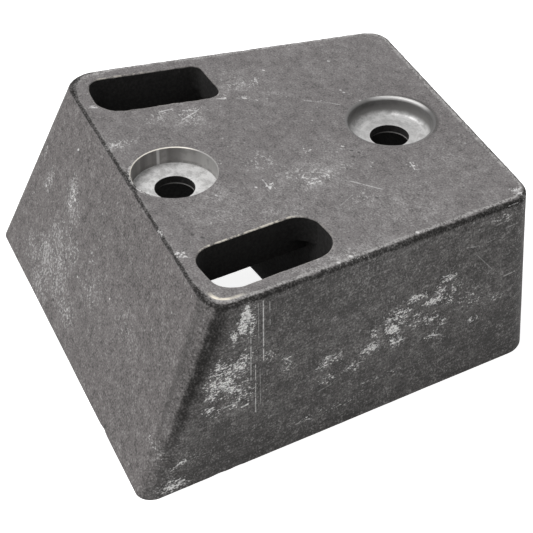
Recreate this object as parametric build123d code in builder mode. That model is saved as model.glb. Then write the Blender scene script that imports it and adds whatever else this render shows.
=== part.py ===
from build123d import *
import os
from math import cos, radians, sin, tan

# Hollow block anode, cast in one piece and then machined round its two bolts.
# Millimetres. X runs across the block, +Y towards its narrow end, and +Z up.
# The open mounting face lies on z = 0, and the block is symmetric about x = 0.

# Outside of the casting
height = 49.0
base_length = 114.0
base_width = 119.7
leg_taper = 7.55
leg_draft = 2.5
wide_end_slope = 22.25
narrow_end_draft = 3.55
wide_corner_radius = 5.8
narrow_corner_radius = 7.2
top_edge_radius = 1.5

# Walls, and the plate that the bolts clamp
wall_thickness = 5.5
plate_thickness = 7.25
hollow_corner_radius = 3.0
hollow_edge_radius = 2.0

# Two windows through the plate, one beside each leg
slot_length = 33.3
slot_width = 16.95
slot_corner_radius = 6.1
slot_setback = 4.3
slot_edge_radius = 0.4

# Ribs under the plate: a lip along the inner side of each slot, and a cross web with a rounded foot
lip_depth = 3.5
lip_thickness = 5.0
web_thickness = 5.5
web_foot_height = 12.0
web_foot_radius = 1.5

# Two counterbored bolt holes on the centre line, each set in from its own end of the top
wide_bolt_setback = 12.3
narrow_bolt_setback = 18.3
bolt_hole_diameter = 10.4
counterbore_diameter = 22.0
counterbore_depth = 4.9
wide_bolt_rim_chamfer = 0.2
narrow_bolt_rim_radius = 0.9
narrow_bolt_floor_radius = 1.6

# Sizes that follow
taper = radians(leg_taper)
draft = radians(leg_draft)
wide_slope = radians(wide_end_slope)
narrow_slope = radians(narrow_end_draft)
ceiling_height = height - plate_thickness
wide_top_y = -base_length / 2 + height * tan(wide_slope)
narrow_top_y = base_length / 2 - height * tan(narrow_slope)
same_size = 0.01

# The four drafted outer faces, each with its normal pointing into the casting
wide_end_face = Plane(
    origin=(0, -base_length / 2, 0),
    z_dir=(0, cos(wide_slope), -sin(wide_slope)),
)
narrow_end_face = Plane(
    origin=(0, base_length / 2, 0),
    z_dir=(0, -cos(narrow_slope), -sin(narrow_slope)),
)
right_leg_face = Plane(
    origin=(base_width / 2, -base_length / 2, 0),
    z_dir=(-cos(taper) * cos(draft), -sin(taper) * cos(draft), -sin(draft)),
)
left_leg_face = Plane(
    origin=(-base_width / 2, -base_length / 2, 0),
    z_dir=(cos(taper) * cos(draft), -sin(taper) * cos(draft), -sin(draft)),
)
outer_faces = (wide_end_face, narrow_end_face, right_leg_face, left_leg_face)

# Each slot stands square to its leg, flush with the hollow's wall at the ceiling
slot_start_y = wide_top_y + slot_setback
leg_lean = (ceiling_height * tan(draft) + wall_thickness / cos(draft)) / cos(taper)
hollow_side_x = base_width / 2 - (slot_start_y + base_length / 2) * tan(taper) - leg_lean
slot_start_x = hollow_side_x - slot_width / 2 / cos(taper)
slot_x = slot_start_x - slot_length / 2 * sin(taper)
slot_y = slot_start_y + slot_length / 2 * cos(taper)
slot_end_x = slot_start_x - slot_length * sin(taper)
slot_end_y = slot_start_y + slot_length * cos(taper)

# The web's faces are square to the legs too, so they meet in a shallow V at x = 0
web_y = slot_end_y - slot_end_x * tan(taper)
web_reach = base_width / 2
web_rise = web_reach * tan(taper)
web_span = web_thickness / cos(taper)

# The lip stands against the slot's inner side, from the sloped end wall to the web
lip_offset = (slot_width + lip_thickness) / 2
lip_run_out = slot_setback + wall_thickness
lip_length = slot_length + lip_run_out + web_thickness / 2
lip_shift = (web_thickness / 2 - lip_run_out) / 2
lip_x = slot_x - lip_offset * cos(taper) - lip_shift * sin(taper)
lip_y = slot_y - lip_offset * sin(taper) + lip_shift * cos(taper)

# The space inside the casting, as the sand core that leaves it
with BuildPart() as core:
    with BuildSketch():
        Rectangle(base_width, base_length)
    extrude(amount=ceiling_height)
    for outer_face in outer_faces:
        split(bisect_by=outer_face.offset(wall_thickness), keep=Keep.TOP)

    with BuildSketch(Plane.XY.offset(web_foot_height)):
        with BuildLine():
            Polyline(
                (0, web_y),
                (web_reach, web_y + web_rise),
                (web_reach, web_y + web_rise + web_span),
                (0, web_y + web_span),
                close=True,
            )
        make_face()
        mirror(about=Plane.YZ)
    extrude(amount=ceiling_height - web_foot_height, mode=Mode.SUBTRACT)

    standing_edges = core.edges() - core.edges().filter_by(Plane.XY)
    web_folds = standing_edges.filter_by_position(Axis.X, -same_size, same_size)
    fillet(standing_edges - web_folds, radius=hollow_corner_radius)

    mouth, web_foot, ceilings = core.faces().filter_by(Axis.Z).group_by(Axis.Z)
    fillet(web_foot.edges(), radius=web_foot_radius)
    fillet(ceilings.sort_by(Axis.Y)[-1].edges(), radius=hollow_edge_radius)

    with BuildSketch(Plane.XY.offset(ceiling_height - lip_depth)):
        with Locations((lip_x, lip_y)):
            Rectangle(lip_thickness, lip_length, rotation=leg_taper)
        mirror(about=Plane.YZ)
    extrude(amount=lip_depth, mode=Mode.SUBTRACT)

    with BuildSketch(Plane.XY.offset(ceiling_height)):
        with Locations((slot_x, slot_y)):
            RectangleRounded(slot_width, slot_length, slot_corner_radius, rotation=leg_taper)
        mirror(about=Plane.YZ)
    extrude(amount=plate_thickness)

with BuildPart() as anode_casting:
    with BuildSketch():
        Rectangle(base_width, base_length)
    extrude(amount=height)
    for outer_face in outer_faces:
        split(bisect_by=outer_face, keep=Keep.TOP)

    corners = (anode_casting.edges() - anode_casting.edges().filter_by(Plane.XY)).sort_by(Axis.Y)
    fillet(corners[:2], radius=wide_corner_radius)
    corners = (anode_casting.edges() - anode_casting.edges().filter_by(Plane.XY)).sort_by(Axis.Y)
    fillet(corners[-2:], radius=narrow_corner_radius)
    fillet(anode_casting.faces().sort_by(Axis.Z)[-1].edges(), radius=top_edge_radius)

    add(core.part, mode=Mode.SUBTRACT)

    wide_bolt_y = wide_top_y + wide_bolt_setback
    narrow_bolt_y = narrow_top_y - narrow_bolt_setback
    with Locations((0, wide_bolt_y, height), (0, narrow_bolt_y, height)):
        CounterBoreHole(
            radius=bolt_hole_diameter / 2,
            counter_bore_radius=counterbore_diameter / 2,
            counter_bore_depth=counterbore_depth,
        )

    counterbore_edges = anode_casting.edges().filter_by(GeomType.CIRCLE).filter_by(
        lambda edge: abs(edge.radius - counterbore_diameter / 2) < same_size
    )
    floor_edges, rims = counterbore_edges.group_by(Axis.Z)
    wide_bolt_rim, narrow_bolt_rim = rims.sort_by(Axis.Y)
    slot_rims = anode_casting.faces().sort_by(Axis.Z)[-1].inner_wires().edges() - rims
    fillet(slot_rims, radius=slot_edge_radius)
    chamfer(wide_bolt_rim, length=wide_bolt_rim_chamfer)
    fillet(narrow_bolt_rim, radius=narrow_bolt_rim_radius)
    fillet(floor_edges.sort_by(Axis.Y)[-1], radius=narrow_bolt_floor_radius)

anode_casting.part.label = "anode_casting"

os.makedirs("parts", exist_ok=True)
export_step(anode_casting.part, "parts/anode_casting.step")
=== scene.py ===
from math import cos, radians, sin, tan

import bmesh
import bpy
import numpy as np
from mathutils import Matrix, Vector, noise


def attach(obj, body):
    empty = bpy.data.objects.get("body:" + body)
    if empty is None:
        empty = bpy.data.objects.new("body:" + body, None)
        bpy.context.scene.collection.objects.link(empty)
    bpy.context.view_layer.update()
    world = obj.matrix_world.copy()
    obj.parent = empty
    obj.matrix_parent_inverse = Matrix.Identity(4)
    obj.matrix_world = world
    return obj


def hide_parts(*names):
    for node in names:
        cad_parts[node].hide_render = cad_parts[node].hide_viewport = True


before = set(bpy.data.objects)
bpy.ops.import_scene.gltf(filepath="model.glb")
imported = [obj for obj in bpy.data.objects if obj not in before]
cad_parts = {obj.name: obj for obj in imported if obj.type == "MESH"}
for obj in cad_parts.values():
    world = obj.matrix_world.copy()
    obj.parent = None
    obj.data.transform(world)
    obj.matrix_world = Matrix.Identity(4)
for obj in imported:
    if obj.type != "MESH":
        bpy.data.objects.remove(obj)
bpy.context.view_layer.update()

# Lengths below are in millimetres unless a name or comment says otherwise.
# The frame is the casting's own: X across, +Y to the narrow end, z = 0 on the open mounting face.
MM = 0.001

# The casting's sizes that the surface work needs, as in the part's source
HEIGHT = 49.0
BASE_LENGTH = 114.0
BASE_WIDTH = 119.7
LEG_TAPER = radians(7.55)
LEG_DRAFT = radians(2.5)
WIDE_END_SLOPE = radians(22.25)
NARROW_END_DRAFT = radians(3.55)
TOP_EDGE_RADIUS = 1.5
WIDE_CORNER_RADIUS = 5.8
NARROW_CORNER_RADIUS = 7.2
CEILING_HEIGHT = 41.75
COUNTERBORE_RADIUS = 11.0
COUNTERBORE_FLOOR = 44.1
WIDE_RIM_WIDTH = 0.2
NARROW_RIM_WIDTH = 0.9
WIDE_BOLT_Y = -24.654
NARROW_BOLT_Y = 35.660
SLOT_LENGTH = 33.3
SLOT_WIDTH = 16.95
SLOT_CORNER_RADIUS = 6.1
SLOT_X = 38.494
SLOT_Y = -16.147

# Outer faces: a point on each, and its outward normal
TOP_POINT, TOP_NORMAL = np.array([0, 0, HEIGHT]), np.array([0, 0, 1.0])
WIDE_POINT = np.array([0, -BASE_LENGTH / 2, 0])
WIDE_NORMAL = np.array([0, -cos(WIDE_END_SLOPE), sin(WIDE_END_SLOPE)])
NARROW_POINT = np.array([0, BASE_LENGTH / 2, 0])
NARROW_NORMAL = np.array([0, cos(NARROW_END_DRAFT), sin(NARROW_END_DRAFT)])
RIGHT_POINT = np.array([BASE_WIDTH / 2, -BASE_LENGTH / 2, 0])
RIGHT_NORMAL = np.array([
    cos(LEG_TAPER) * cos(LEG_DRAFT), sin(LEG_TAPER) * cos(LEG_DRAFT), sin(LEG_DRAFT)])
LEFT_POINT = RIGHT_POINT * [-1, 1, 1]
LEFT_NORMAL = RIGHT_NORMAL * [-1, 1, 1]
OUTER_FACES = (
    (WIDE_POINT, WIDE_NORMAL), (NARROW_POINT, NARROW_NORMAL),
    (RIGHT_POINT, RIGHT_NORMAL), (LEFT_POINT, LEFT_NORMAL),
)

# Size of the mesh's cells, and the finer cuts beside the outer edges
CELL = 1.2
EDGE_CUTS = (0.35, 0.8, 1.4, 2.1)
EDGE_ZONE = 2.3
LONGEST_IN_EDGE_ZONE = 0.7
CUT_SNAP = 0.02
WELD_DISTANCE = 0.0005
FLAT_ANGLE = radians(0.05)
CREASE_ANGLE = radians(28)

# Depths below the top, or inside an outer face, at which one skin gives way to the next
RIM_SKIN_DEPTH = 0.32
TOP_SKIN_DEPTH = 0.9
SIDE_SKIN_DEPTH = 2.7
LEG_SKIN_END_Y = 55.0

# The plate's height range in which the slots' outlines are changed
PLATE_ONLY = (38.0, 40.0)

# Between the two bolts, and the spacing of single spots in the grain
BETWEEN_BOLTS_Y = 5.0
SPOT_SPACING = 1.3

# The studio: floor in metres, then strengths of light
FLOOR_REACH = 3.0
FLOOR_DROP = 0.00002
FLOOR_GLOW = 0.88
STUDIO_LIGHT = 0.35

# The skins, in the order of the piece's material slots
TOP_SKIN, LEG_SKIN, END_SKIN, CUT_SKIN, CORE_SKIN_AND_SHADE = range(5)

# Marks on the right leg's face: y, z, reach along y, reach along z, strength
LEG_RUBBED = (
    (-28.4, 45.2, 1.3, 2.2, 1.30), (-29.2, 42.2, 1.2, 2.8, 1.35), (-26.6, 44.2, 1.1, 3.0, 0.85),
    (-31.6, 39.8, 1.2, 1.8, 1.10), (-26.2, 40.6, 1.1, 2.4, 0.70),
    (-36.6, 28.0, 2.0, 1.8, 1.00), (-33.6, 27.2, 3.0, 1.6, 1.00), (-36.8, 24.8, 1.6, 1.5, 0.90),
    (-30.6, 30.2, 3.6, 3.2, 0.84), (-28.0, 32.4, 2.6, 2.2, 0.66), (-35.0, 31.6, 3.0, 2.6, 0.72),
    (-31.4, 24.6, 3.6, 2.0, 0.66), (-29.0, 22.2, 2.6, 1.0, 0.78), (-38.0, 21.2, 1.4, 1.2, 0.72),
    (-36.0, 18.8, 2.0, 1.6, 0.45), (-29.8, 19.8, 4.0, 1.2, 0.52), (-21.3, 30.5, 2.0, 1.8, 0.56),
    (-16.9, 26.1, 1.8, 2.2, 0.50), (-5.0, 21.6, 3.4, 1.6, 0.74), (-5.6, 16.4, 2.6, 1.4, 0.62),
    (1.9, 17.2, 3.4, 1.4, 0.58), (6.9, 20.5, 2.8, 1.3, 1.00), (7.7, 24.5, 1.2, 1.4, 0.80),
    (14.6, 26.6, 3.6, 2.6, 0.82), (13.2, 23.6, 1.9, 1.3, 1.30), (16.9, 27.0, 1.3, 2.0, 0.95),
    (11.7, 26.5, 1.2, 1.2, 0.80), (14.3, 19.4, 2.4, 1.3, 0.80), (19.4, 30.7, 2.4, 0.9, 1.05),
    (22.1, 30.3, 1.8, 0.8, 0.90), (25.2, 27.5, 2.8, 0.9, 1.00), (29.1, 33.0, 2.6, 0.8, 1.10),
    (31.1, 29.1, 0.9, 1.1, 0.90), (36.8, 16.7, 1.1, 0.7, 1.00), (39.3, 16.6, 1.6, 0.6, 0.62),
    (25.2, 16.8, 2.2, 1.0, 0.80), (24.3, 22.5, 3.0, 2.0, 0.52), (28.0, 19.7, 1.0, 0.8, 0.80),
    (30.1, 25.8, 2.0, 1.4, 0.60), (26.8, 30.2, 1.6, 1.1, 0.85), (32.9, 29.9, 2.4, 1.2, 0.55),
    (44.3, 21.0, 2.6, 1.2, 0.48), (20.0, 24.0, 2.0, 3.0, 0.50),
    (23.0, 22.4, 4.0, 3.0, 0.40), (36.0, 24.0, 4.6, 3.6, 0.36), (44.6, 45.5, 3.4, 1.6, 0.40),
    (-44.4, 8.2, 3.6, 1.0, 0.66), (-50.6, 11.4, 1.4, 3.0, 0.40), (-47.4, 2.2, 3.2, 1.6, 0.92),
    (-8.0, 6.4, 12.0, 1.0, 0.36), (10.0, 10.0, 9.0, 0.8, 0.34),
)

# Marks on the sloped end: x, z, reach along x, reach along z, strength
WIDE_RUBBED = (
    (-24.5, 30.6, 1.8, 2.4, 0.66), (-24.4, 27.9, 1.2, 1.2, 0.70), (-29.1, 13.4, 3.0, 1.0, 0.52),
    (-19.2, 14.4, 2.0, 1.2, 0.62), (-3.7, 25.6, 2.0, 1.6, 0.40), (-49.8, 30.0, 0.8, 1.6, 0.50),
    (-47.8, 17.0, 1.0, 2.0, 0.45), (-8.0, 7.7, 6.0, 1.0, 0.42), (-40.4, 26.0, 1.4, 1.6, 0.50),
)
WIDE_BLOOM = (
    (-23.0, 18.5, 6.0, 4.5, 0.95), (-26.0, 11.5, 7.0, 5.0, 1.00), (-14.6, 20.0, 4.0, 3.4, 0.75),
    (-16.0, 11.0, 5.0, 5.0, 0.80), (-25.9, 31.0, 2.8, 4.4, 1.00), (-20.0, 28.0, 3.2, 4.0, 0.75),
    (-40.2, 26.0, 3.0, 4.0, 0.65), (-26.0, 4.0, 6.0, 3.6, 0.75), (-9.0, 8.0, 8.0, 4.0, 0.60),
    (1.0, 20.0, 8.0, 6.0, 0.42), (24.0, 24.0, 9.0, 6.0, 0.34), (-36.0, 8.0, 6.0, 4.0, 0.60),
)
WIDE_SMEARS = (
    (-6.0, 34.0, 8.0, 5.0, 0.50), (8.0, 12.0, 9.0, 7.0, 0.42), (36.0, 10.0, 9.0, 8.0, 0.50),
    (14.0, 38.0, 10.0, 5.0, 0.46), (-12.0, 20.0, 5.0, 4.0, 0.40), (42.0, 30.0, 7.0, 9.0, 0.44),
)

# Marks on the top: x, y, reach along x, reach along y, strength
TOP_WORN = (
    (16.0, 6.0, 9.0, 8.0, 1.00), (24.0, -4.0, 10.0, 12.0, 0.80), (18.0, -18.0, 9.0, 9.0, 0.85),
    (36.0, 22.0, 10.0, 16.0, 0.75), (8.0, 14.0, 8.0, 10.0, 0.50), (-28.0, 8.0, 8.0, 8.0, 0.60),
    (-22.0, -12.0, 6.0, 7.0, 0.66), (-17.0, -34.6, 5.0, 2.4, 0.60), (46.0, -4.0, 4.0, 22.0, 0.70),
    (28.0, 40.0, 12.0, 8.0, 0.55), (-36.0, 34.0, 9.0, 10.0, 0.36), (50.0, -32.0, 5.0, 5.0, 0.60),
    (30.0, -34.0, 8.0, 3.0, 0.50), (2.0, -36.0, 20.0, 2.0, 0.30),
)
TOP_RUBBED = (
    (15.8, 4.2, 1.6, 3.0, 0.50), (16.0, 9.8, 1.6, 3.0, 0.56), (17.8, 6.2, 0.9, 2.0, 0.62),
    (3.8, 10.8, 1.2, 3.2, 0.46), (15.0, -4.9, 1.8, 1.4, 0.56), (-31.4, 9.0, 2.0, 4.0, 0.40),
    (-24.0, 5.6, 2.0, 2.4, 0.42), (-22.4, -12.0, 2.0, 3.0, 0.44), (-27.0, -16.8, 1.0, 2.0, 0.50),
    (-24.6, -10.8, 1.2, 2.2, 0.46), (-16.6, -35.0, 1.6, 2.6, 0.40), (-35.8, -33.6, 0.8, 1.1, 0.70),
    (-26.9, -1.4, 1.2, 1.4, 0.66), (31.8, -35.0, 2.4, 1.2, 0.78), (22.2, -36.0, 2.0, 1.0, 0.70),
    (40.4, 50.6, 2.2, 1.6, 0.60), (21.0, 31.6, 2.4, 1.0, 0.52),
)
TOP_BLOOM = (
    (-17.0, -32.0, 2.2, 4.4, 0.46), (-24.4, -20.4, 3.0, 4.4, 0.48), (-20.0, -12.7, 2.6, 3.4, 0.52),
    (12.6, 2.4, 4.0, 5.0, 0.50), (14.2, 9.4, 3.6, 5.0, 0.56), (4.0, -3.0, 5.0, 5.0, 0.42),
    (-31.4, 5.6, 3.0, 5.0, 0.50), (28.0, 15.0, 5.0, 5.0, 0.40), (13.8, 16.1, 3.0, 3.4, 0.40),
    (48.0, -2.0, 3.0, 16.0, 0.42), (-27.9, -1.7, 2.0, 2.4, 0.50),
)

# The painted highlight in cream on the worn near corner: centre, reach, strength
CREAM_HIGHLIGHTS = (
    ((51.2, -34.8, 48.9), 1.5, 1.00), ((52.2, -32.6, 48.9), 1.5, 0.80), ((52.9, -30.0, 48.9), 1.6, 0.50),
)

# Scored lines down the right leg: start y and z, end y and z, width, strength
LEG_LINES = (
    ((-23.1, 47.1), (-23.3, 29.8), 0.20, 0.75), ((-26.5, 41.0), (-26.8, 25.3), 0.17, 0.55),
    ((-25.5, 29.3), (-25.7, 14.9), 0.19, 0.65), ((-21.4, 46.4), (-21.4, 39.5), 0.15, 0.40),
    ((-24.4, 46.8), (-24.5, 36.0), 0.14, 0.30), ((-24.3, 27.5), (-24.3, 17.0), 0.14, 0.30),
    ((-29.4, 18.1), (-27.8, 18.3), 0.34, 0.95), ((-38.2, 21.2), (-37.1, 21.4), 0.34, 0.85),
    ((-34.2, 20.0), (-29.9, 20.2), 0.22, 0.50), ((-17.8, 28.0), (-15.6, 25.9), 0.22, 0.55),
    ((-15.6, 25.9), (-17.2, 24.4), 0.22, 0.50), ((37.5, 36.7), (42.6, 30.4), 0.18, 0.22),
    ((34.3, 40.1), (38.2, 39.1), 0.20, 0.35), ((46.6, 26.7), (50.6, 26.9), 0.22, 0.45),
    ((25.2, 26.5), (28.6, 30.7), 0.26, 0.55), ((24.0, 17.0), (27.6, 16.0), 0.26, 0.55),
    ((46.3, 48.1), (49.6, 48.1), 0.30, 0.60), ((-43.3, 29.7), (-41.3, 28.8), 0.26, 0.55),
    ((-50.3, 15.8), (-46.7, 14.1), 0.24, 0.45), ((-49.4, 1.7), (-45.6, 2.7), 0.40, 0.85),
    ((43.0, 43.6), (47.0, 43.9), 0.18, 0.30), ((46.0, 41.6), (50.0, 41.9), 0.18, 0.35),
    ((40.6, 39.3), (43.2, 39.7), 0.18, 0.28), ((-8.0, 13.4), (-4.6, 14.0), 0.20, 0.28),
)

# Scratches on the top: start x and y, end x and y, width, strength
TOP_LINES = (
    ((-17.4, 18.8), (-14.6, 23.6), 0.26, 0.50), ((-14.6, 23.6), (-11.8, 26.7), 0.22, 0.40),
    ((20.6, 14.3), (27.4, 20.6), 0.26, 0.55), ((14.1, -4.4), (16.0, -5.4), 0.34, 0.85),
    ((11.6, -5.6), (16.0, -5.4), 0.26, 0.60), ((-36.1, -34.7), (-35.3, -32.8), 0.34, 0.85),
    ((-27.4, -2.4), (-26.4, -0.5), 0.34, 0.70), ((17.9, 4.6), (17.7, 7.4), 0.40, 0.85),
    ((-21.2, -14.5), (-23.7, -9.3), 0.26, 0.50), ((-27.0, -18.5), (-27.1, -15.0), 0.30, 0.60),
    ((-25.3, -12.6), (-23.9, -9.2), 0.30, 0.60), ((-17.4, -32.9), (-15.9, -37.0), 0.26, 0.50),
    ((19.0, 31.8), (22.6, 31.4), 0.24, 0.50), ((40.9, 49.6), (39.3, 52.3), 0.34, 0.60),
    ((8.6, -25.0), (14.0, -20.0), 0.18, 0.26), ((16.0, -24.4), (21.6, -17.6), 0.18, 0.24),
    ((20.0, -24.0), (24.2, -20.6), 0.18, 0.24), ((29.0, 7.6), (26.0, 12.6), 0.18, 0.22),
)

# Single bright dots and dark pits on the top and the sloped end: first and second place, width
TOP_DOTS = (
    (-33.1, 33.0, 0.42), (-17.2, 30.1, 0.40), (-18.4, 29.8, 0.30), (-35.7, 14.7, 0.36),
    (13.8, -8.5, 0.40), (13.2, -18.7, 0.40), (5.8, 19.0, 0.44), (6.8, 18.2, 0.34), (45.8, 20.0, 0.46),
    (48.0, 1.3, 0.50), (49.0, -2.3, 0.44), (16.2, 6.1, 0.50), (-24.8, 4.3, 0.36), (-22.6, 7.1, 0.36),
)
TOP_PITS = (
    (11.0, 19.6, 0.55), (8.4, 20.3, 0.50), (29.4, 17.3, 0.55), (27.7, -28.1, 0.60), (25.7, -29.9, 0.50),
    (10.0, 21.6, 0.40),
)
WIDE_PITS = (
    (-23.4, 41.5, 0.60), (9.2, 44.4, 0.50), (32.3, 36.9, 0.55), (-15.4, 5.4, 0.60), (31.6, 1.0, 0.80),
    (22.0, 29.0, 0.50),
)
WIDE_DOTS = (
    (-41.1, 23.8, 0.45), (-30.6, 40.5, 0.45), (-7.6, 17.5, 0.40), (11.5, 23.8, 0.36), (4.2, 18.0, 0.36),
    (-22.8, 30.5, 0.50), (-25.0, 31.6, 0.40),
)

# Real dents and nicks, mostly along the edges: centre, radius, depth
DENTS = (
    ((22.2, -37.0, 48.9), 1.2, 0.30), ((15.9, -36.8, 48.9), 1.0, 0.25), ((31.5, -36.9, 48.9), 1.3, 0.30),
    ((4.0, -37.0, 48.9), 0.9, 0.20), ((-9.0, -37.0, 48.9), 1.1, 0.22), ((-24.0, -37.0, 48.9), 1.0, 0.20),
    ((53.2, -12.0, 47.6), 1.2, 0.22), ((51.4, 1.0, 47.8), 1.4, 0.25), ((49.2, 18.0, 47.8), 1.2, 0.20),
    ((46.6, 37.0, 47.8), 1.4, 0.22), ((29.0, 17.2, 49.0), 1.0, 0.12), ((11.0, 19.6, 49.0), 1.1, 0.14),
    ((27.0, -29.0, 49.0), 1.2, 0.14), ((31.6, -57.0, 0.2), 1.3, 0.22), ((58.0, -36.0, 0.3), 1.6, 0.20),
    ((57.2, -31.0, 0.2), 1.2, 0.18),
    ((-40.0, -44.0, 33.0), 5.0, 0.15), ((10.0, -50.0, 16.0), 9.0, 0.18), ((54.0, -10.0, 30.0), 9.0, 0.12),
)


def smooth(low, high, value):
    """0 at low, 1 at high, and an even ease between them."""
    share = np.clip((value - low) / (high - low), 0, 1)
    return share * share * (3 - 2 * share)


def depth(places, point, normal):
    """How far inside a face each place lies."""
    return (point - places) @ normal


def lumps(places, size, seed):
    """Soft noise from about -1 to 1, with lumps of that size."""
    shift = Vector((seed * 7.31, seed * 3.17, seed * 5.71))
    return np.array([noise.noise(Vector(place) / size + shift) for place in places])


def on_leg(y, z):
    """The place on the right leg's face at a y and a height."""
    across = RIGHT_POINT @ RIGHT_NORMAL - y * RIGHT_NORMAL[1] - z * RIGHT_NORMAL[2]
    return np.array([across / RIGHT_NORMAL[0], y, z])


def on_wide_end(x, z):
    """The place on the sloped end at an x and a height."""
    return np.array([x, z * tan(WIDE_END_SLOPE) - BASE_LENGTH / 2, z])


def on_top(x, y):
    """The place on the top at an x and a y."""
    return np.array([x, y, HEIGHT])


def rounded_depth(first, second, radius):
    """Depth inside two faces that meet in a round of that radius."""
    corner = radius - np.hypot(np.maximum(radius - first, 0), np.maximum(radius - second, 0))
    return np.where((first < radius) & (second < radius), corner, np.minimum(first, second))


def side_depth(places):
    """Depth inside the two legs and the narrow end, with their rounded corners."""
    legs = np.minimum(depth(places, RIGHT_POINT, RIGHT_NORMAL), depth(places, LEFT_POINT, LEFT_NORMAL))
    return rounded_depth(legs, depth(places, NARROW_POINT, NARROW_NORMAL), NARROW_CORNER_RADIUS)


def outer_depth(places):
    """Depth inside the block's whole outside, seen from above."""
    return rounded_depth(side_depth(places), depth(places, WIDE_POINT, WIDE_NORMAL), WIDE_CORNER_RADIUS)


def cut_across(cells, place, direction):
    """Cut the mesh along one plane, without parting it."""
    bmesh.ops.bisect_plane(
        cells,
        geom=cells.verts[:] + cells.edges[:] + cells.faces[:],
        dist=CUT_SNAP * MM,
        plane_co=Vector(place) * MM,
        plane_no=Vector(direction),
    )


def cut_into_cells(mesh):
    """Weld the casting's mesh, join its flat faces and cut it into small cells."""
    cells = bmesh.new()
    cells.from_mesh(mesh)
    bmesh.ops.remove_doubles(cells, verts=cells.verts, dist=WELD_DISTANCE * MM)
    bmesh.ops.dissolve_limit(cells, angle_limit=FLAT_ANGLE, verts=cells.verts, edges=cells.edges)
    for axis, low, high in ((0, -59.4, 59.4), (1, -57.0, 57.0), (2, 0.0, HEIGHT)):
        direction = np.eye(3)[axis]
        for place in np.arange(low + CELL, high - CELL / 2, CELL):
            cut_across(cells, direction * place, direction)
    for point, normal in ((TOP_POINT, TOP_NORMAL),) + OUTER_FACES:
        for inside in EDGE_CUTS:
            cut_across(cells, point - normal * inside, normal)
    places = np.array([vert.co for vert in cells.verts]) / MM
    near_edge = (outer_depth(places) < EDGE_ZONE) & (places[:, 2] > HEIGHT - EDGE_ZONE)
    cells.verts.index_update()
    long_edges = [
        edge for edge in cells.edges
        if all(near_edge[vert.index] for vert in edge.verts)
        and edge.calc_length() > LONGEST_IN_EDGE_ZONE * MM
    ]
    bmesh.ops.subdivide_edges(cells, edges=long_edges, cuts=1)
    bmesh.ops.triangulate(cells, faces=cells.faces)
    return cells


def corner_line(point_a, normal_a, point_b, normal_b, heights):
    """Plan position of the sharp corner between two outer faces, at each height."""
    level = np.array([normal_a[:2], normal_b[:2]])
    reaches = np.stack([
        point_a @ normal_a - normal_a[2] * heights,
        point_b @ normal_b - normal_b[2] * heights,
    ])
    return np.linalg.solve(level, reaches).T


def ease_corner(places, faces, radius, foot_radius, head_radius):
    """Change a standing corner's radius, from one at its foot to one at its head."""
    (point_a, normal_a), (point_b, normal_b) = faces
    sharp = corner_line(point_a, normal_a, point_b, normal_b, places[:, 2])
    offset = places[:, :2] - sharp
    away = np.linalg.norm(offset, axis=1)
    nearest = np.minimum(depth(places, point_a, normal_a), depth(places, point_b, normal_b))
    target = foot_radius + (head_radius - foot_radius) * places[:, 2] / HEIGHT
    weight = (1 - smooth(1.2 * radius, 2.6 * radius, away)) * (1 - smooth(2.6, 5.0, nearest))
    scale = 1 + (target / radius - 1) * weight
    places[:, :2] = sharp + offset * scale[:, None]


def ease_top_edge(places, point, normal, radius, along_weight):
    """Change the radius of the round between the top and one outer face."""
    below = HEIGHT - places[:, 2]
    inside = depth(places, point, normal)
    level = normal[:2] / np.linalg.norm(normal[:2])
    lean = normal[2] / np.linalg.norm(normal[:2])
    # level distance from the sharp edge, which lies in the top plane
    run = inside / np.linalg.norm(normal[:2]) - below * lean
    away = np.hypot(run, below)
    weight = (1 - smooth(TOP_EDGE_RADIUS, 2.6 * TOP_EDGE_RADIUS, away)) * along_weight
    weight = weight * smooth(COUNTERBORE_RADIUS + 0.2, COUNTERBORE_RADIUS + 1.1, bolt_distance(places))
    scale = 1 + (radius / TOP_EDGE_RADIUS - 1) * weight
    places[:, :2] -= level * ((scale - 1) * run)[:, None]
    places[:, 2] = HEIGHT - below * scale


def slot_directions(side):
    """A slot's centre, its direction to the narrow end, and its direction outwards; side is 1 or -1."""
    centre = np.array([side * SLOT_X, SLOT_Y])
    along = np.array([-side * sin(LEG_TAPER), cos(LEG_TAPER)])
    outward = np.array([side * cos(LEG_TAPER), sin(LEG_TAPER)])
    return centre, along, outward


def ease_slot_corner(places, side, end, flank, radius):
    """Change one slot corner's radius in the plate; end and flank are each 1 or -1."""
    centre, along, outward = slot_directions(side)
    sharp = centre + along * end * SLOT_LENGTH / 2 + outward * flank * SLOT_WIDTH / 2
    offset = places[:, :2] - sharp
    away = np.linalg.norm(offset, axis=1)
    weight = 1 - smooth(1.1 * SLOT_CORNER_RADIUS, 2.3 * SLOT_CORNER_RADIUS, away)
    weight = weight * smooth(1.2, 4.0, outer_depth(places)) * smooth(*PLATE_ONLY, places[:, 2])
    scale = 1 + (radius / SLOT_CORNER_RADIUS - 1) * weight
    places[:, :2] = sharp + offset * scale[:, None]


def skew_slot_end(places, side, pull):
    """Draw a slot's narrow end back at its outer corner and out at its inner one, so it runs askew."""
    centre, along, outward = slot_directions(side)
    offset = places[:, :2] - centre
    across = np.clip((offset @ outward) / SLOT_WIDTH + 0.5, 0, 1.3)
    weight = 1 - smooth(1.0, 11.0, np.abs(offset @ along - SLOT_LENGTH / 2))
    weight = weight * (1 - smooth(8.6, 14.0, np.abs(offset @ outward)))
    weight = weight * smooth(1.2, 4.0, outer_depth(places)) * smooth(*PLATE_ONLY, places[:, 2])
    places[:, :2] -= along * (pull * (across - 0.33) * weight)[:, None]


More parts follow.
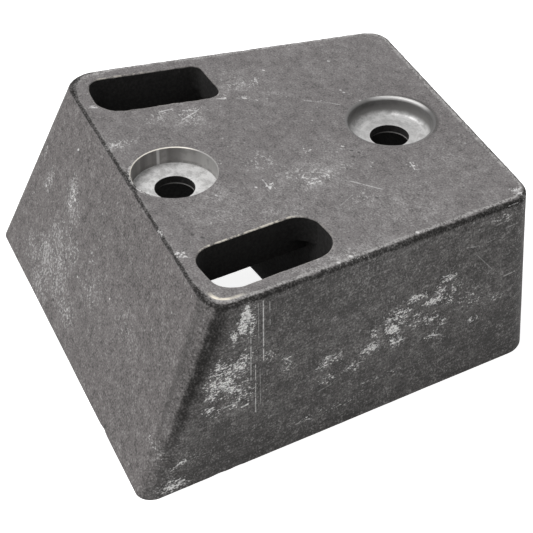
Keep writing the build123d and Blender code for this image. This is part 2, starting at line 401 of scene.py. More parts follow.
def slot_gap(places):
    """Distance of each place outside the nearer slot's outline, seen from above."""
    gaps = []
    for side in (1, -1):
        centre, along, outward = slot_directions(side)
        offset = places[:, :2] - centre
        length = np.abs(offset @ along) - SLOT_LENGTH / 2 + SLOT_CORNER_RADIUS
        width = np.abs(offset @ outward) - SLOT_WIDTH / 2 + SLOT_CORNER_RADIUS
        outside = np.hypot(np.maximum(length, 0), np.maximum(width, 0))
        gaps.append(outside + np.minimum(np.maximum(length, width), 0) - SLOT_CORNER_RADIUS)
    return np.minimum(*gaps)


def slot_flank(places, side, flank):
    """1 beside one long side of a slot, easing to 0 beyond its ends; side and flank are 1 or -1."""
    centre, along, outward = slot_directions(side)
    offset = places[:, :2] - centre
    beside = 1 - smooth(1.0, 3.2, np.abs(offset @ outward * flank - SLOT_WIDTH / 2))
    return beside * (1 - smooth(10.5, 16.5, np.abs(offset @ along)))


def bolt_distance(places):
    """Distance of each place from the nearer bolt's axis."""
    wide = np.hypot(places[:, 0], places[:, 1] - WIDE_BOLT_Y)
    narrow = np.hypot(places[:, 0], places[:, 1] - NARROW_BOLT_Y)
    return np.minimum(wide, narrow)


def corner_turn(places):
    """How far each place lies round the sloped end's corners: 0 on a leg, 1 on the sloped end."""
    from_leg = np.arccos(np.clip(1 - side_depth(places) / WIDE_CORNER_RADIUS, 0, 1))
    from_end = np.arccos(np.clip(1 - depth(places, WIDE_POINT, WIDE_NORMAL) / WIDE_CORNER_RADIUS, 0, 1))
    return from_leg / np.maximum(from_leg + from_end, 0.001)


def leg_share(places):
    """Which side of the outside is nearer: 1 for a leg or the narrow end, 0 for the sloped end."""
    from_leg = WIDE_CORNER_RADIUS - side_depth(places)
    from_end = WIDE_CORNER_RADIUS - depth(places, WIDE_POINT, WIDE_NORMAL)
    share = np.arctan2(from_leg, from_end) / (np.pi / 2)
    inner = (from_leg < 0) & (from_end < 0)
    return np.where(inner, (from_leg > from_end) * 1.0, np.clip(share, 0, 1))


def corner_reflection_strength(places):
    """Strength of the painted dark reflection that runs as a stripe down each of the sloped end's corners:
    full at the right one.
    """
    near = np.where(places[:, 0] > 0, 1.0, 0.5)
    return near * smooth(2.0, 26.0, places[:, 2])


def near_marks(places, marks, put):
    """Strength at each place of soft marks on one outer face; put places a mark on its face."""
    strength = np.zeros(len(places))
    first_axis = 1 if put is on_leg else 0
    second_axis = 1 if put is on_top else 2
    for first, second, first_reach, second_reach, level in marks:
        centre = put(first, second)
        gap = ((places[:, first_axis] - first) / first_reach) ** 2
        gap = gap + ((places[:, second_axis] - second) / second_reach) ** 2
        close = np.linalg.norm(places - centre, axis=1) < 2.6 * max(first_reach, second_reach) + 1.5
        strength = np.maximum(strength, np.where(close, level * np.exp(-0.8 * gap), 0))
    return strength


def surface_masks(places):
    """The values that the finishes read, at each place of the casting as drawn."""
    burr_and_highlight = np.maximum.reduce([
        slot_flank(places, 1, -1), 0.7 * slot_flank(places, -1, 1) * smooth(-8, -26, places[:, 1]),
        0.32 * slot_flank(places, -1, -1), 0.22 * slot_flank(places, 1, 1), np.full(len(places), 0.10),
    ])
    rubbed = np.maximum.reduce([
        near_marks(places, marks, put)
        for marks, put in ((LEG_RUBBED, on_leg), (WIDE_RUBBED, on_wide_end), (TOP_RUBBED, on_top))
    ])
    cream_highlight = np.zeros(len(places))
    for centre, reach, level in CREAM_HIGHLIGHTS:
        away = np.linalg.norm(places - np.array(centre), axis=1)
        cream_highlight = np.maximum(cream_highlight, level * np.exp(-(away / reach) ** 2))
    return {
        "inset": outer_depth(places), "leg_side": leg_share(places), "turn": corner_turn(places),
        "corner_reflection": corner_reflection_strength(places), "slot_gap": slot_gap(places), "burr_and_highlight": burr_and_highlight, "rubbed": rubbed,
        "bloom": np.maximum(
            near_marks(places, WIDE_BLOOM, on_wide_end), near_marks(places, TOP_BLOOM, on_top)),
        "smears": near_marks(places, WIDE_SMEARS, on_wide_end),
        "worn": near_marks(places, TOP_WORN, on_top), "cream_highlight": cream_highlight,
    }


def choose_skins(centres, bolt_reaches):
    """The skin of each cell: an outer cast skin, cut metal, or the dark skin that the core left, painted near
    black as the shade inside.
    """
    across, along, up = centres.T
    rim_width = np.where(along < BETWEEN_BOLTS_Y, WIDE_RIM_WIDTH, NARROW_RIM_WIDTH)
    cut = (bolt_reaches < COUNTERBORE_RADIUS + rim_width + 0.03) & (up > COUNTERBORE_FLOOR - 0.05)
    outside = np.minimum.reduce([depth(centres, point, normal) for point, normal in OUTER_FACES])
    cast = (up > HEIGHT - RIM_SKIN_DEPTH) | (up < 0.02) | (outside < SIDE_SKIN_DEPTH)
    nearer_leg = depth(centres, RIGHT_POINT, RIGHT_NORMAL) < 0.4 + depth(centres, WIDE_POINT, WIDE_NORMAL)
    side = np.where(nearer_leg & (across > 0) & (along < LEG_SKIN_END_Y), LEG_SKIN, END_SKIN)
    outer_skin = np.where(up > HEIGHT - TOP_SKIN_DEPTH, TOP_SKIN, side)
    return np.where(cut, CUT_SKIN, np.where(cast, outer_skin, CORE_SKIN_AND_SHADE))


def ease_shapes(places):
    """The casting's own departures from even radii, as the photograph shows them."""
    wide, narrow, right, left = OUTER_FACES
    ease_corner(places, (wide, right), WIDE_CORNER_RADIUS, 4.0, 6.8)
    ease_corner(places, (wide, left), WIDE_CORNER_RADIUS, 5.6, 8.4)
    ease_corner(places, (narrow, right), NARROW_CORNER_RADIUS, 7.8, 6.5)
    ease_corner(places, (narrow, left), NARROW_CORNER_RADIUS, 7.8, 6.5)
    middle = 1 - smooth(43, 50, np.abs(places[:, 0]))
    ease_top_edge(places, WIDE_POINT, WIDE_NORMAL, 0.6, middle)
    for end, flank, radius in ((-1, 1, 4.2), (-1, -1, 8.0), (1, 1, 2.4), (1, -1, 5.0)):
        ease_slot_corner(places, -1, end, flank, radius)
    skew_slot_end(places, -1, 3.6)
    ease_slot_corner(places, 1, 1, 1, 7.4)


def roughen(places, normals, machined):
    """Waves, an uneven rim round each slot, and single dents."""
    outer = outer_depth(places)
    rough = np.where(outer < 3.2, 0.05, 0.10) * np.where(machined, 0.1, 1.0)
    wave = lumps(places, 15, 1) * 0.9 + lumps(places, 4, 2) * 0.35 + lumps(places, 1.6, 3) * 0.35
    edge = (outer < EDGE_ZONE) & (places[:, 2] > HEIGHT - 2.0)
    chatter = lumps(places, 1.3, 4) * np.where(edge, 0.09, 0.0) * (0.35 + 0.65 * leg_share(places))
    rim = (1 - smooth(0.2, 1.2, np.abs(slot_gap(places)))) * smooth(HEIGHT - 4, HEIGHT - 0.5, places[:, 2])
    rim_chatter = lumps(places, 2.2, 5) * rim * 0.22
    rim_chatter = rim_chatter * np.where(places[:, 0] > 0, 0.35, 1.0)
    places += normals * (wave * rough + np.minimum(chatter, 0.03) + rim_chatter)[:, None]
    for centre, radius, fall in DENTS:
        away = np.linalg.norm(places - np.array(centre), axis=1)
        places -= normals * (fall * np.exp(-(away / radius) ** 2))[:, None]
    places[:, 2] = np.maximum(places[:, 2], 0.0)


def add_object(name, data):
    made = bpy.data.objects.new(name, data)
    bpy.context.scene.collection.objects.link(made)
    return made


def make_casting(materials):
    """The casting as one piece, with its uneven surface in the mesh."""
    cells = cut_into_cells(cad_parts["anode_casting"].data)
    cells.normal_update()
    drawn = np.array([vert.co for vert in cells.verts]) / MM
    normals = np.array([vert.normal for vert in cells.verts])
    centres = np.array([face.calc_center_median() for face in cells.faces]) / MM
    cells.verts.index_update()
    corners = np.array([[vert.index for vert in face.verts] for face in cells.faces])
    skins = choose_skins(centres, bolt_distance(drawn)[corners].max(axis=1))
    machined = (bolt_distance(drawn) < COUNTERBORE_RADIUS + 1.3) & (drawn[:, 2] > COUNTERBORE_FLOOR - 0.1)

    places = drawn.copy()
    ease_shapes(places)
    roughen(places, normals, machined)
    for vert, place in zip(cells.verts, places):
        vert.co = Vector(place) * MM
    for face, skin in zip(cells.faces, skins):
        face.smooth = True
        face.material_index = int(skin)
    for edge in cells.edges:
        if len(edge.link_faces) == 2 and edge.calc_face_angle() > CREASE_ANGLE:
            edge.smooth = False

    mesh = bpy.data.meshes.new("casting_body")
    cells.to_mesh(mesh)
    cells.free()
    for name, values in surface_masks(drawn).items():
        attribute = mesh.attributes.new(name, "FLOAT", "POINT")
        attribute.data.foreach_set("value", np.asarray(values, np.float32))
    for material in materials:
        mesh.materials.append(material)
    print("casting_body faces", len(mesh.polygons))
    return add_object("casting_body", mesh)


def feed(value, socket):
    """Join a reading to a socket, or set the socket to a plain value."""
    if isinstance(value, Reading):
        value.tree.links.new(value.socket, socket)
    elif isinstance(value, tuple) and len(socket.default_value) == 4:
        socket.default_value = (*value, 1)
    else:
        socket.default_value = value


def add_math(tree, operation, first, second=0.0, clamp=False):
    node = tree.nodes.new("ShaderNodeMath")
    node.operation = operation
    node.use_clamp = clamp
    feed(first, node.inputs[0])
    feed(second, node.inputs[1])
    return Reading(tree, node.outputs[0])


def add_noise(vector, scale, detail, roughness):
    node = vector.tree.nodes.new("ShaderNodeTexNoise")
    for label, value in (("Vector", vector), ("Scale", scale), ("Detail", detail), ("Roughness", roughness)):
        feed(value, node.inputs[label])
    return Reading(vector.tree, node.outputs["Fac"])


class Reading:
    """A value that changes over the surface. Arithmetic on it adds the nodes that work it out."""

    def __init__(self, tree, socket):
        self.tree, self.socket = tree, socket

    def math(self, operation, other=0.0, clamp=False):
        return add_math(self.tree, operation, self, other, clamp)

    def __add__(self, other):
        return self.math("ADD", other)

    def __mul__(self, other):
        return self.math("MULTIPLY", other)

    def __sub__(self, other):
        return self.math("SUBTRACT", other)

    def __truediv__(self, other):
        return self.math("DIVIDE", other)

    def __radd__(self, other):
        return add_math(self.tree, "ADD", other, self)

    def __rsub__(self, other):
        return add_math(self.tree, "SUBTRACT", other, self)

    def or_more(self, other):
        """The larger of two masks."""
        return self.math("MAXIMUM", other)

    def vector(self, operation, other=None):
        node = self.tree.nodes.new("ShaderNodeVectorMath")
        node.operation = operation
        feed(self, node.inputs[0])
        if other is not None:
            feed(other, node.inputs["Scale" if operation == "SCALE" else 1])
        label = "Value" if operation in ("DOT_PRODUCT", "LENGTH") else "Vector"
        return Reading(self.tree, node.outputs[label])

    def step(self, low, high):
        """0 at low, 1 at high, and an even ease between them."""
        node = self.tree.nodes.new("ShaderNodeMapRange")
        node.interpolation_type = "SMOOTHSTEP"
        for label, value in (("Value", self), ("From Min", low), ("From Max", high)):
            feed(value, node.inputs[label])
        return Reading(self.tree, node.outputs["Result"])

    def band(self, rise_start, rise_end, fall_start, fall_end):
        """1 between two distances, with soft sides."""
        return self.step(rise_start, rise_end) * (1 - self.step(fall_start, fall_end))

    def noise(self, size, detail, roughness):
        """Noise with lumps of a size in millimetres."""
        return add_noise(self, 1 / (size * MM), detail, roughness)

    def fibres(self, sizes, turn, detail, roughness):
        """Noise drawn out into fibres: millimetres along x, y and z, after a turn of its axes."""
        lay = self.tree.nodes.new("ShaderNodeMapping")
        lay.vector_type = "TEXTURE"
        feed(self, lay.inputs["Vector"])
        feed(turn, lay.inputs["Rotation"])
        feed(tuple(size * MM for size in sizes), lay.inputs["Scale"])
        return add_noise(Reading(self.tree, lay.outputs["Vector"]), 1.0, detail, roughness)


def mix(factor, first, second):
    """A colour between two others."""
    node = factor.tree.nodes.new("ShaderNodeMix")
    node.data_type = "RGBA"
    sockets = {socket.identifier: socket for socket in (*node.inputs, *node.outputs)}
    feed(factor, sockets["Factor_Float"])
    feed(first, sockets["A_Color"])
    feed(second, sockets["B_Color"])
    return Reading(factor.tree, sockets["Result_Color"])


def lay_paints(colour, *paints):
    """Lay paints over a colour, one on another: a mask, a strength and a colour for each."""
    for mask, strength, paint in paints:
        colour = mix(mask.math("MULTIPLY", strength, clamp=True), colour, paint)
    return colour


def stored(tree, name):
    """One of the surface masks, as make_casting keeps them on the mesh."""
    node = tree.nodes.new("ShaderNodeAttribute")
    node.attribute_name = name
    return Reading(tree, node.outputs["Fac"])


def make_group(work, **inputs):
    """A shared node group, named for the function that takes its inputs and gives its outputs by name."""
    group = bpy.data.node_groups.new(work.__name__, "ShaderNodeTree")
    for label, kind in inputs.items():
        group.interface.new_socket(label, in_out="INPUT", socket_type=f"NodeSocket{kind}")
    given = group.nodes.new("NodeGroupInput").outputs
    results = work(*(Reading(group, given[label]) for label in inputs))
    for label in results:
        group.interface.new_socket(label, in_out="OUTPUT", socket_type="NodeSocketFloat")
    outlets = group.nodes.new("NodeGroupOutput").inputs
    for label, reading in results.items():
        feed(reading, outlets[label])
    return group


def place_group(group, place, **values):
    """Place a shared group in a material with its own values, and give its outputs by name."""
    node = place.tree.nodes.new("ShaderNodeGroup")
    node.node_tree = group
    for label, value in {"Place": place, **values}.items():
        feed(value, node.inputs[label])
    return {socket.name: Reading(place.tree, socket) for socket in node.outputs}


def cast_grain(place):
    """The skin's grain: its height, its sparse specks, its pits and its slow clouds."""
    spots = place.tree.nodes.new("ShaderNodeTexVoronoi")
    feed(1 / (SPOT_SPACING * MM), spots.inputs["Scale"])
    feed(place, spots.inputs["Vector"])
    draw, away = (Reading(place.tree, spots.outputs[label]) for label in ("Color", "Distance"))
    size, choice = (draw.vector("DOT_PRODUCT", axis) for axis in ((1, 0, 0), (0, 1, 0)))
    spot = 1 - (away / (size.math("POWER", 3.0) * 0.30 + 0.02)).step(0.55, 1.05)
    crowd = place.noise(5.0, 3, 0.6).step(0.46, 0.62)
    return {
        "Height": place.noise(0.48, 1, 0.6) * 0.50 + place.noise(2.6, 4, 0.85) * 0.50,
        "Specks": spot * crowd * choice.step(0.30, 0.34),
        "Pits": spot * (1 - choice.step(0.26, 0.30)),
        "Clouds": place.noise(8.0, 3, 0.6),
        "Drift": place.noise(26.0, 2, 0.5),
    }


def crossed_fibres(place):
    """Hair-thin handling scratches that lie several ways across the top."""
    crowd = place.noise(5.0, 3, 0.6)
    mask = 0.0
    for angle, length in ((28, 2.6), (64, 1.8), (-34, 2.2), (3, 1.5)):
        lines = place.fibres((length, 0.34, 1.0), (0, 0, radians(angle)), 3, 0.7)
        mask = (lines + crowd * 0.35).step(0.74, 0.96).or_more(mask)
    return {"Mask": mask}


def rubbed_metal(place, amount):
    """Where rubbing has broken through the skin: a network that fills in as the amount rises."""
    specks = place.fibres((0.80, 0.80, 0.44), (0, 0, LEG_TAPER), 2, 0.75)
    clumps = place.fibres((2.6, 2.6, 1.2), (0, 0, LEG_TAPER), 3, 0.7)
    level = specks * 0.66 + clumps * 0.34 + amount * 0.22
    holes = place.noise(0.42, 1, 0.6).step(0.38, 0.54)
    return {"Mask": level.step(0.61, 0.69) * amount.step(0.03, 0.24) * (0.45 + holes * 0.55)}


def segment_mark(place, start, end, width, strength, before):
    """A straight mark from a start to an end in metres, joined to the marks before it."""
    offset, run = place.vector("SUBTRACT", start), end.vector("SUBTRACT", start)
    share = offset.vector("DOT_PRODUCT", run).math("DIVIDE", run.vector("DOT_PRODUCT", run), clamp=True)
    away = offset.vector("SUBTRACT", run.vector("SCALE", share)).vector("LENGTH")
    return {"Mask": ((1 - (away / width).step(0.45, 1.0)) * strength).or_more(before)}


def round_the_bolt(place):
    """Drawing sizes round the nearer bolt: radius, which bolt, which way, and streaks down the wall."""
    apart = place.tree.nodes.new("ShaderNodeSeparateXYZ")
    feed(place, apart.inputs[0])
    across, along = (Reading(place.tree, apart.outputs[axis]) for axis in "XY")
    narrow = along.math("GREATER_THAN", BETWEEN_BOLTS_Y * MM)
    along = along - (narrow * ((NARROW_BOLT_Y - WIDE_BOLT_Y) * MM) + WIDE_BOLT_Y * MM)
    radius = (across * across + along * along).math("SQRT")
    across, along = across / radius, along / radius
    direction = place.tree.nodes.new("ShaderNodeCombineXYZ")
    for axis, reading in zip("XYZ", (across, along, narrow)):
        feed(reading, direction.inputs[axis])
    streaks = add_noise(Reading(place.tree, direction.outputs[0]), 2.6, 3.0, 0.55)
    return {"Radius": radius / MM, "Narrow": narrow, "Along": along, "Across": across, "Streaks": streaks}


def new_material(name):
    """A node material: the material, its tree and its shader."""
    material = bpy.data.materials.new(name)
    material.use_nodes = True
    tree = material.node_tree
    return material, tree, tree.nodes["Principled BSDF"]


def survey(tree, groups):
    """What each of the casting's finishes reads: its place, its distance below the top, grain and bolts."""
    place = Reading(tree, tree.nodes.new("ShaderNodeTexCoord").outputs["Object"])
    below_top = HEIGHT - place.vector("DOT_PRODUCT", (0, 0, 1 / MM))
    return place, below_top, place_group(groups["grain"], place), place_group(groups["bolt"], place)


def dress(shader, colour, roughness, relief, strength, relief_depth):
    """Give a shader its colour, its roughness and its fine relief."""
    bump = relief.tree.nodes.new("ShaderNodeBump")
    for label, value in (("Strength", strength), ("Distance", relief_depth), ("Height", relief)):
        feed(value, bump.inputs[label])
    feed(colour, shader.inputs["Base Color"])
    feed(roughness, shader.inputs["Roughness"])
    feed(Reading(relief.tree, bump.outputs["Normal"]), shader.inputs["Normal"])


def dots_as_lines(dots):
    """Single dots as very short lines."""
    return tuple(((first, second), (first + 0.25, second + 0.2), width, 0.9) for first, second, width in dots)


def draw_lines(mark_group, place, lines, put):
    """Straight marks on one face, each at its own strength; put places their ends on the face."""
    marks = 0.0
    for start, end, width, strength in lines:
        marks = place_group(
            mark_group, place, Start=tuple(put(*start) * MM), End=tuple(put(*end) * MM),
            Width=width * MM, Strength=strength, Before=marks)["Mask"]
    return marks


def cast_aluminium(groups, name, put, lines, pits):
    """Dull grey as-cast skin of one side: grain, mottling, worn edges, painted shade, dark reflections and
    highlights on its edges and corners, and its own marks.
    """
    material, tree, shader = new_material(name)
    place, below_top, skin, bolt = survey(tree, groups)
    inset, leg_side, turn, worn, corner_reflection, bloom = (
        stored(tree, label) for label in ("inset", "leg_side", "turn", "worn", "corner_reflection", "bloom"))
    wobble = place.noise(3.6, 3, 0.6) - 0.5
    along_block = place.vector("DOT_PRODUCT", (0, 1, 0))

    # Painted shade: the legs are darker than the sloped end, and the sloped end is darker than the top, for
    # the sides that get less light; the legs also darken towards their foot and towards the narrow end
    top_face = 1 - below_top.step(0.15, 0.9)
    side_face = 1 - top_face
    wide_face = side_face * turn
    leg_face = side_face * (1 - turn)
    low_leg = leg_face * below_top.step(30.0, 46.0)
    low_streaks = place.fibres((3.0, 14.0, 1.6), (radians(-1), 0, LEG_TAPER), 3, 0.7).step(0.52, 0.40)
    colour = lay_paints(
        mix(skin["Clouds"].step(0.35, 0.65), (0.158, 0.147, 0.147), (0.198, 0.186, 0.186)),
        (skin["Drift"].step(0.38, 0.62), 1.0, (0.172, 0.161, 0.161)),
        (leg_face, 0.80, (0.120, 0.115, 0.111)),
        (wide_face, 0.75, (0.158, 0.144, 0.142)),
        (leg_face * skin["Clouds"].step(0.54, 0.38), 0.55, (0.062, 0.060, 0.058)),
        (leg_face * skin["Clouds"].step(0.52, 0.66), 0.40, (0.20, 0.195, 0.19)),
        (stored(tree, "smears"), 0.55, (0.118, 0.112, 0.109)),
        (worn * top_face, 0.36, (0.250, 0.238, 0.237)),
        (low_leg, 0.36, (0.058, 0.056, 0.054)),
        (low_leg * low_streaks, 0.62, (0.040, 0.038, 0.037)),
        (leg_face * along_block.step(0.0445, 0.0535), 0.50, (0.045, 0.043, 0.042)),
    )

    # Grain, with light crests and dark hollows, and streaks along the legs, left by the pattern
    crest, hollow = skin["Height"].step(0.50, 0.68), skin["Height"].step(0.51, 0.36)
    contrast = 0.50 + wide_face * 0.20 + leg_face * 0.42
    fibres = place_group(groups["fibres"], place)["Mask"]
    streaks = place.fibres((2.0, 5.0, 0.7), (radians(3), 0, LEG_TAPER), 4, 0.75)
    colour = lay_paints(
        colour,
        (crest, contrast, (0.38, 0.367, 0.36)),
        (hollow, contrast + 0.14, (0.050, 0.048, 0.046)),
        (fibres * top_face, worn * 0.85 + 0.22, (0.50, 0.49, 0.485)),
        (worn * top_face * crest, 0.40, (0.46, 0.45, 0.445)),
        (skin["Specks"], 0.60, (0.55, 0.54, 0.535)),
        (skin["Pits"], 0.65, (0.045, 0.043, 0.042)),
        (streaks.step(0.52, 0.72) * leg_face, 0.45, (0.30, 0.295, 0.29)),
        (streaks.step(0.48, 0.30) * leg_face, 0.50, (0.045, 0.044, 0.043)),
    )

    # Painted shade as a dark band under the top edge: broad and soft over the legs, narrow over the sloped
    # end
    below = below_top + wobble * (leg_side + 0.20)
    breadth = leg_side * (along_block.step(-0.036, 0.048) * 0.60 + 0.40) + 0.74
    level = (below - (leg_side * 0.22 - 0.18)) / breadth
    edge_shade = level.band(0.0, 0.14, 0.62, 1.15) * (1 - (inset + leg_side * 0.45).step(1.25, 1.70))
    edge_shade = edge_shade * (0.62 + skin["Height"].step(0.58, 0.44) * 0.38)

    # Painted dark reflection as a stripe down the leg's side of each standing corner, and a faint one on the
    # sloped end's side
    uneven_turn = turn + wobble * 0.12
    reflection_stripe = uneven_turn.band(0.02, 0.30, 0.42, 0.54) * side_face * corner_reflection
    reflection_stripe = reflection_stripe * (0.70 + skin["Height"].step(0.62, 0.40) * 0.30)
    faint_reflection_stripe = uneven_turn.band(0.66, 0.80, 0.84, 0.99) * side_face * corner_reflection

    # Ridge along the top's outer edges, lighter as worn metal and as a painted highlight on the round, with a
    # painted highlight in cream at the worn near corner
    ridge_place = inset + wobble * 0.5
    ridge_wear_and_highlight = ridge_place.band(0.7, 1.2, 1.5, 2.2) * top_face
    ridge_wear_and_highlight = ridge_wear_and_highlight * (leg_side * 0.80 + 0.20) * skin["Height"].step(0.38, 0.62)
    cream_highlight = stored(tree, "cream_highlight") * ridge_place.band(1.55, 1.95, 2.30, 2.75)

    # Rims of the slots: a broken bright burr along the far sides, partly a painted highlight
    burr_and_highlight = stored(tree, "slot_gap").band(-0.5, -0.05, 0.22, 0.55) * stored(tree, "burr_and_highlight")
    burr_and_highlight = burr_and_highlight * place.noise(1.6, 3, 0.7).step(0.40, 0.58)

    # Painted shadow as a crescent outside the rounded counterbore rim, and a painted highlight as an arc by
    # the other
    shadow_crescent = bolt["Radius"].band(11.3, 11.9, 12.2, 13.2) * top_face * bolt["Narrow"]
    shadow_crescent = shadow_crescent * bolt["Along"].step(0.2, 0.8)
    highlight_arc = bolt["Radius"].band(11.1, 11.25, 11.4, 11.9) * top_face * (1 - bolt["Narrow"])
    highlight_arc = highlight_arc * bolt["Along"].step(-0.6, -0.95) * skin["Height"].step(0.42, 0.60)

    # Bloom, rubbed patches and single marks
    flecks = place.noise(0.85, 2, 0.75) + place.noise(4.0, 3, 0.65) * 0.22 + bloom * 0.14
    flecks = flecks.step(0.72, 0.79) * bloom.step(0.08, 0.40)
    # Bare metal, painted brighter on the legs as painted light where the legs get less light
    bare_metal_leg_lit = mix(leg_face, (0.70, 0.69, 0.685), (1.0, 0.99, 0.975))
    rubbed = place_group(groups["rubbed"], place, Amount=stored(tree, "rubbed"))["Mask"]
    marks = draw_lines(groups["mark"], place, lines, put) * place.noise(1.1, 2, 0.7).step(0.34, 0.56)
    colour = lay_paints(
        colour,
        # Painted shade under the top edge
        (edge_shade, 0.96, (0.016, 0.015, 0.014)),
        # Painted dark reflection down the standing corners
        (reflection_stripe, 0.96, (0.020, 0.019, 0.018)),
        (faint_reflection_stripe, 0.45, (0.06, 0.058, 0.056)),
        # Worn edge metal with a painted highlight, and a painted highlight in cream at the near corner
        (ridge_wear_and_highlight, 0.80, (0.48, 0.47, 0.46)),
        (cream_highlight, 1.2, (1.0, 0.93, 0.80)),
        (burr_and_highlight, 1.0, (0.72, 0.68, 0.60)),
        (shadow_crescent, 0.65, (0.06, 0.057, 0.055)),
        (highlight_arc, 0.9, (0.75, 0.74, 0.73)),
        (bloom, 0.10, (0.40, 0.395, 0.39)),
        (flecks, 0.82, (0.46, 0.45, 0.445)),
        (rubbed, 1.0, bare_metal_leg_lit),
        (marks, 1.0, bare_metal_leg_lit),
    )
    if pits:
        colour = lay_paints(
            colour, (draw_lines(groups["mark"], place, pits, put), 0.75, (0.035, 0.034, 0.033)))

    shader.inputs["Metallic"].default_value = 0.1
    shader.inputs["Specular IOR Level"].default_value = 0.3
    roughness = 0.66 - rubbed.or_more(marks) * 0.22 + edge_shade.or_more(reflection_stripe) * 0.24
    dress(shader, colour, roughness + skin["Clouds"] * 0.1, skin["Height"], 0.45, 0.14 * MM)
    return material


def machined_aluminium(groups):
    """Bright cut metal of the counterbores: mottled floors, streaked walls with painted shade and a painted
    reflection, and rims with painted highlights and painted shade.
    """
    material, tree, shader = new_material("machined_aluminium")
    place, below_top, skin, bolt = survey(tree, groups)
    mottle = place.noise(2.6, 3, 0.6)
    above = HEIGHT - COUNTERBORE_FLOOR - below_top

    worn_ring = bolt["Radius"].band(5.0, 5.4, 6.4, 8.0) * bolt["Narrow"]
    cutter_rings = (bolt["Radius"] * 7.0).math("SINE") * bolt["Narrow"]
    floor = lay_paints(
        mix(mottle.step(0.36, 0.62), (0.55, 0.545, 0.54), (0.78, 0.775, 0.77)),
        (skin["Height"].step(0.52, 0.36), 0.45, (0.36, 0.355, 0.35)),
        (bolt["Narrow"], 0.20, (0.36, 0.355, 0.355)),
        (worn_ring, 0.35, (0.42, 0.415, 0.41)),
        (cutter_rings, 0.12, (0.36, 0.355, 0.35)),
    )

    # Crisp wall: painted lighter towards +Y as painted light, with a painted reflection as a vertical glint
    glint = bolt["Along"].band(-0.09, -0.05, -0.02, 0.02) * bolt["Across"].step(-0.5, -0.9)
    crisp_wall = lay_paints(
        mix(bolt["Streaks"].step(0.38, 0.64), (0.15, 0.143, 0.137), (0.30, 0.29, 0.28)),
        (bolt["Along"].step(0.0, 0.9), 0.60, (0.46, 0.45, 0.44)),
        (mottle.step(0.52, 0.36), 0.30, (0.12, 0.115, 0.11)),
        (glint, 0.60, (0.80, 0.79, 0.78)),
    )
    # Dull wall: painted shade, darker towards its top and towards -Y
    dull_wall = lay_paints(
        mix(above.step(3.4, 1.0), (0.080, 0.077, 0.075), (0.23, 0.225, 0.22)),
        (mottle.step(0.42, 0.62), 0.25, (0.24, 0.235, 0.23)),
        (bolt["Along"].step(-0.3, 0.8), 0.45, (0.22, 0.215, 0.21)),
    )
    wall = mix(bolt["Narrow"], crisp_wall, dull_wall)

    # The wall fades into the floor over its corner, with painted shade at the wall's foot, and the rims get
    # painted highlights and painted shade by direction
    rise = above / (bolt["Narrow"] * 1.5 + 0.30) + (mottle - 0.5) * 0.9
    foot_shade = above.band(-0.05, 0.2, 0.5, 1.3) * mottle.step(0.44, 0.60)
    dull_rim = below_top.step(1.0, 0.15) * bolt["Narrow"]
    crisp_rim = below_top.step(0.30, 0.15) * (1 - bolt["Narrow"])
    back_left = bolt["Across"] * -0.93 + bolt["Along"] * -0.37
    back_right = bolt["Across"] * -0.73 + bolt["Along"] * 0.68
    colour = lay_paints(
        mix(rise.step(0.05, 0.85), floor, wall),
        (foot_shade, 0.50, (0.10, 0.096, 0.092)),
        (dull_rim, 0.85, (0.17, 0.166, 0.164)),
        (dull_rim * bolt["Along"].step(0.45, 0.95), 0.60, (0.07, 0.068, 0.067)),
        (dull_rim * back_right.step(0.62, 0.95), 0.72, (0.66, 0.65, 0.64)),
        (crisp_rim * back_left.step(0.15, 0.60), 0.95, (1.0, 0.95, 0.86)),
    )
    shader.inputs["Metallic"].default_value = 0.3
    dress(shader, colour, 0.38 + mottle * 0.2, skin["Height"], 0.12, 0.10 * MM)
    return material


def core_skin_and_shade(groups):
    """The dark, dry skin that the sand core leaves inside the casting, the slots and the bolt holes, painted
    near black as the shade of the unlit inside.
    """
    material, tree, shader = new_material("core_skin_and_shade")
    place, below_top, skin, bolt = survey(tree, groups)
    sand = place.noise(0.8, 3, 0.6)
    # A painted highlight on the far edge where each bolt hole meets the ceiling
    hole_edge_highlight = (below_top - (HEIGHT - CEILING_HEIGHT)).band(-0.4, -0.25, 0.0, 0.1)
    hole_edge_highlight = hole_edge_highlight * (1 - bolt["Radius"].step(5.4, 5.8)) * bolt["Along"].step(-0.7, 0.8)
    # Near-black base: the core's dark skin, painted darker still as painted shade of the unlit inside
    colour = lay_paints(
        mix(sand.step(0.35, 0.7), (0.024, 0.023, 0.023), (0.042, 0.041, 0.040)),
        (skin["Clouds"], 0.2, (0.05, 0.048, 0.046)),
        (skin["Specks"], 0.25, (0.16, 0.155, 0.15)),
        (hole_edge_highlight, 0.9, (0.50, 0.49, 0.48)),
    )
    shader.inputs["Specular IOR Level"].default_value = 0.15
    dress(shader, colour, 0.75 + skin["Clouds"] * 0.2, sand, 0.5, 0.30 * MM)
    return material


def seen_rays(tree):
    """1 for rays that the camera sees directly, in a reflection or through glass; otherwise 0."""
    rays = tree.nodes.new("ShaderNodeLightPath")
    camera, glossy, through = (
        Reading(tree, rays.outputs[f"Is {kind} Ray"]) for kind in ("Camera", "Glossy", "Transmission"))
    return camera.or_more(glossy).or_more(through)


def make_floor():
    """Pale floor that the camera sees as white, with only the deepest of the shadow left on it."""
    mesh = bpy.data.meshes.new("floor")
    corners = ((-1, -1), (1, -1), (1, 1), (-1, 1))
    mesh.from_pydata(
        [(x * FLOOR_REACH, y * FLOOR_REACH, -FLOOR_DROP) for x, y in corners], [], [(0, 1, 2, 3)])
    material, tree, shader = new_material("floor_white")
    shader.inputs["Base Color"].default_value = (0.6, 0.6, 0.6, 1)
    shader.inputs["Roughness"].default_value = 0.9
    shader.inputs["Emission Color"].default_value = (1, 1, 1, 1)
    feed(seen_rays(tree) * FLOOR_GLOW, shader.inputs["Emission Strength"])
    mesh.materials.append(material)
    add_object("floor", mesh)


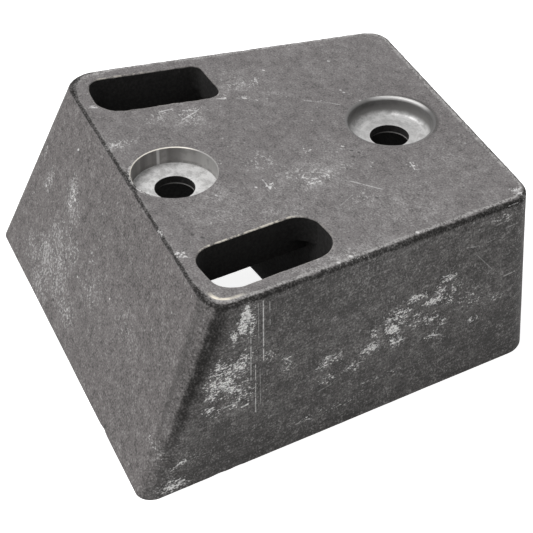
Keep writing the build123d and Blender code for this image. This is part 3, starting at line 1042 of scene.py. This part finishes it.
def make_world():
    """White where it is seen, and an even pale studio as a light."""
    world = bpy.data.worlds.new("studio")
    bpy.context.scene.world = world
    world.use_nodes = True
    tree = world.node_tree
    background = tree.nodes["Background"]
    background.inputs["Color"].default_value = (1, 1, 1, 1)
    level = seen_rays(tree) * (1 - STUDIO_LIGHT) + STUDIO_LIGHT
    feed(level, background.inputs["Strength"])


def add_lamp(name, place, target, size, power):
    """A square soft box, at a place in metres, that faces a target."""
    light = bpy.data.lights.new(name, "AREA")
    light.shape = "SQUARE"
    light.size = size
    light.energy = power
    lamp = add_object(name, light)
    lamp.location = place
    lamp.rotation_euler = (Vector(target) - Vector(place)).to_track_quat("-Z", "Y").to_euler()


def make_camera():
    """The photograph's view, as solved from its outline, holes and slots."""
    azimuth, elevation, roll = radians(66.621), radians(38.374), radians(0.358)
    back = Vector((sin(azimuth) * cos(elevation), -cos(azimuth) * cos(elevation), sin(elevation)))
    right = Vector((cos(azimuth), sin(azimuth), 0))
    up = back.cross(right)
    right, up = cos(roll) * right + sin(roll) * up, cos(roll) * up - sin(roll) * right
    data = bpy.data.cameras.new("camera")
    data.sensor_width = 36
    data.lens = 114.87
    data.clip_start = 0.01
    data.clip_end = 20
    camera = add_object("camera", data)
    place = Vector((0.329123, -0.141620, 0.294941))
    camera.matrix_world = Matrix.Translation(place) @ Matrix((right, up, back)).transposed().to_4x4()
    bpy.context.scene.camera = camera


bpy.context.scene.view_settings.view_transform = "Standard"

shared = {
    "grain": make_group(cast_grain, Place="Vector"),
    "fibres": make_group(crossed_fibres, Place="Vector"),
    "rubbed": make_group(rubbed_metal, Place="Vector", Amount="Float"),
    "mark": make_group(
        segment_mark, Place="Vector", Start="Vector", End="Vector",
        Width="Float", Strength="Float", Before="Float"),
    "bolt": make_group(round_the_bolt, Place="Vector"),
}
casting = make_casting((
    cast_aluminium(
        shared, "cast_aluminium_top", on_top, TOP_LINES + dots_as_lines(TOP_DOTS), dots_as_lines(TOP_PITS)),
    cast_aluminium(shared, "cast_aluminium_leg", on_leg, LEG_LINES, ()),
    cast_aluminium(
        shared, "cast_aluminium_end", on_wide_end, dots_as_lines(WIDE_DOTS), dots_as_lines(WIDE_PITS)),
    machined_aluminium(shared),
    core_skin_and_shade(shared),
))
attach(casting, "root")
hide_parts("anode_casting")

make_floor()
make_world()
add_lamp("key_light", place=(-0.285, -0.70, 1.75), target=(0, 0, 0.02), size=1.0, power=26)
make_camera()
